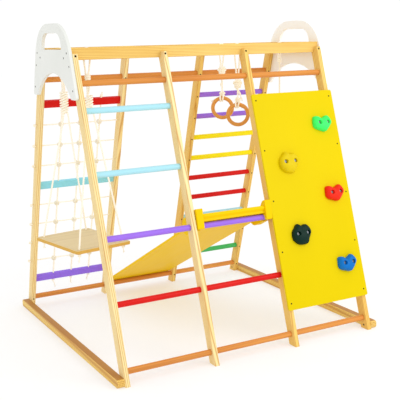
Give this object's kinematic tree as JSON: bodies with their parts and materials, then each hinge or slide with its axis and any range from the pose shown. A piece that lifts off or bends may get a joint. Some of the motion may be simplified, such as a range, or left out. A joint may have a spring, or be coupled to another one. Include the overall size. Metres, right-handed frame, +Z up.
{
  "type": "monkey bars",
  "caption": "Wooden indoor climbing frame with overhead rungs, ladders, a rope net, a hook-on slide, a climbing wall, a swing, gym rings and a climbing rope",
  "frame": {"origin": "on the floor, in the middle of the whole object's footprint, which the overhanging swing seat widens on the left", "axes": "+X runs along the ridge from the swing to the climbing wall, -Y is the front with the climbing wall, +Y the back with the net and the long ladder, +Z up"},
  "size_m": [1.3286, 1.216, 1.388],
  "materials": {
    "pine": "clear satin varnish over pale pine",
    "brown_rungs": "reddish brown stained dowel, satin",
    "light_blue": "light blue satin paint on wood",
    "purple": "purple satin paint on wood",
    "red": "red satin paint on wood",
    "yellow": "yellow satin paint on wood",
    "green": "green satin paint on wood",
    "white_board": "white satin lacquer on board",
    "yellow_board": "yellow satin lacquer on board",
    "blue_hold": "moulded, fine sandy texture",
    "red_hold": "moulded, fine sandy texture",
    "yellow_hold": "moulded, fine sandy texture",
    "light_green_hold": "moulded, fine sandy texture",
    "dark_green_hold": "moulded, fine sandy texture",
    "net_joint": "cream moulded connector",
    "rope": "cream twisted cotton rope",
    "ring_wood": "glossy orange brown varnish",
    "seat_wood": "pale plywood with a clear satin coat",
    "zinc_steel": "zinc plated",
    "dark_screws": "dark plated screw"
  },
  "bodies": {
    "frame": {"front_post_1": "pine", "front_post_2": "pine", "front_post_3": "pine", "front_post_4": "pine", "back_post_1": "pine", "back_post_2": "pine", "back_post_3": "pine", "back_post_4": "pine", "front_ridge_beam": "pine", "back_ridge_beam": "pine", "top_end_rails": "pine", "cross_rungs": "pine", "brown_rungs": "brown_rungs", "light_blue_rungs": "light_blue", "purple_rungs": "purple", "red_rungs": "red", "yellow_rungs": "yellow", "green_rungs": "green", "rung_pins": "dark_screws", "ridge_screws": "dark_screws", "base_beam_left": "pine", "base_beam_right": "pine", "base_screws": "dark_screws", "end_plate_left": "white_board", "end_plate_right": "white_board", "end_plate_screws": "dark_screws", "climbing_panel": "yellow_board", "panel_screws": "dark_screws", "hold_blue": "blue_hold", "hold_dark_green": "dark_green_hold", "hold_red": "red_hold", "hold_yellow": "yellow_hold", "hold_light_green": "light_green_hold", "hold_bolts": "zinc_steel", "hold_tee_nuts": "zinc_steel", "net_board_red": "red", "net_board_blue": "light_blue", "net_board_purple": "purple", "net_board_dowels": "pine", "net_uprights": "rope", "net_rows": "rope", "net_joints": "net_joint", "net_knots": "rope"},
    "swing": {"swing_seat": "seat_wood", "swing_ropes": "rope", "swing_coils": "rope", "swing_seat_knots": "rope"},
    "ring_rope_back": {"ring_rope_back": "rope", "ring_knot_back": "rope"},
    "ring_rope_front": {"ring_rope_front": "rope", "ring_knot_front": "rope"},
    "ring_back": {"gym_ring_back": "ring_wood"},
    "ring_front": {"gym_ring_front": "ring_wood"},
    "climbing_rope": {"climbing_rope": "rope", "climbing_rope_knots": "rope"},
    "slide": {"slide_board": "yellow_board", "slide_crossbar": "yellow_board", "slide_cheeks": "yellow_board", "slide_screws": "dark_screws"}
  },
  "joints": [
    {"name": "swing_pivot", "type": "hinge", "parent": "frame", "child": "swing", "pos_m": [-0.50211, 0, 1.268], "axis": [0, 1, 0], "range_deg": [-25, 25]},
    {"name": "back_ring_rope_pivot", "type": "hinge", "parent": "frame", "child": "ring_rope_back", "pos_m": [0.28689, 0.104, 1.268], "axis": [0, 1, 0], "range_deg": [-30, 30]},
    {"name": "front_ring_rope_pivot", "type": "hinge", "parent": "frame", "child": "ring_rope_front", "pos_m": [0.28689, -0.038, 1.268], "axis": [0, 1, 0], "range_deg": [-30, 30]},
    {"name": "back_ring_pivot", "type": "hinge", "parent": "ring_rope_back", "child": "ring_back", "pos_m": [0.28689, 0.104, 1.02627], "axis": [0.866, -0.5, 0], "range_deg": [-60, 60]},
    {"name": "front_ring_pivot", "type": "hinge", "parent": "ring_rope_front", "child": "ring_front", "pos_m": [0.28689, -0.038, 1.00327], "axis": [0.866, -0.5, 0], "range_deg": [-60, 60]},
    {"name": "climbing_rope_pivot", "type": "hinge", "parent": "frame", "child": "climbing_rope", "pos_m": [0.54989, 0, 1.268], "axis": [0, 1, 0], "range_deg": [-25, 25]},
    {"name": "slide_lift", "type": "hinge", "parent": "frame", "child": "slide", "pos_m": [0.02389, -0.41374, 0.544], "axis": [1, 0, 0], "range_deg": [0, 50]}
  ]
}
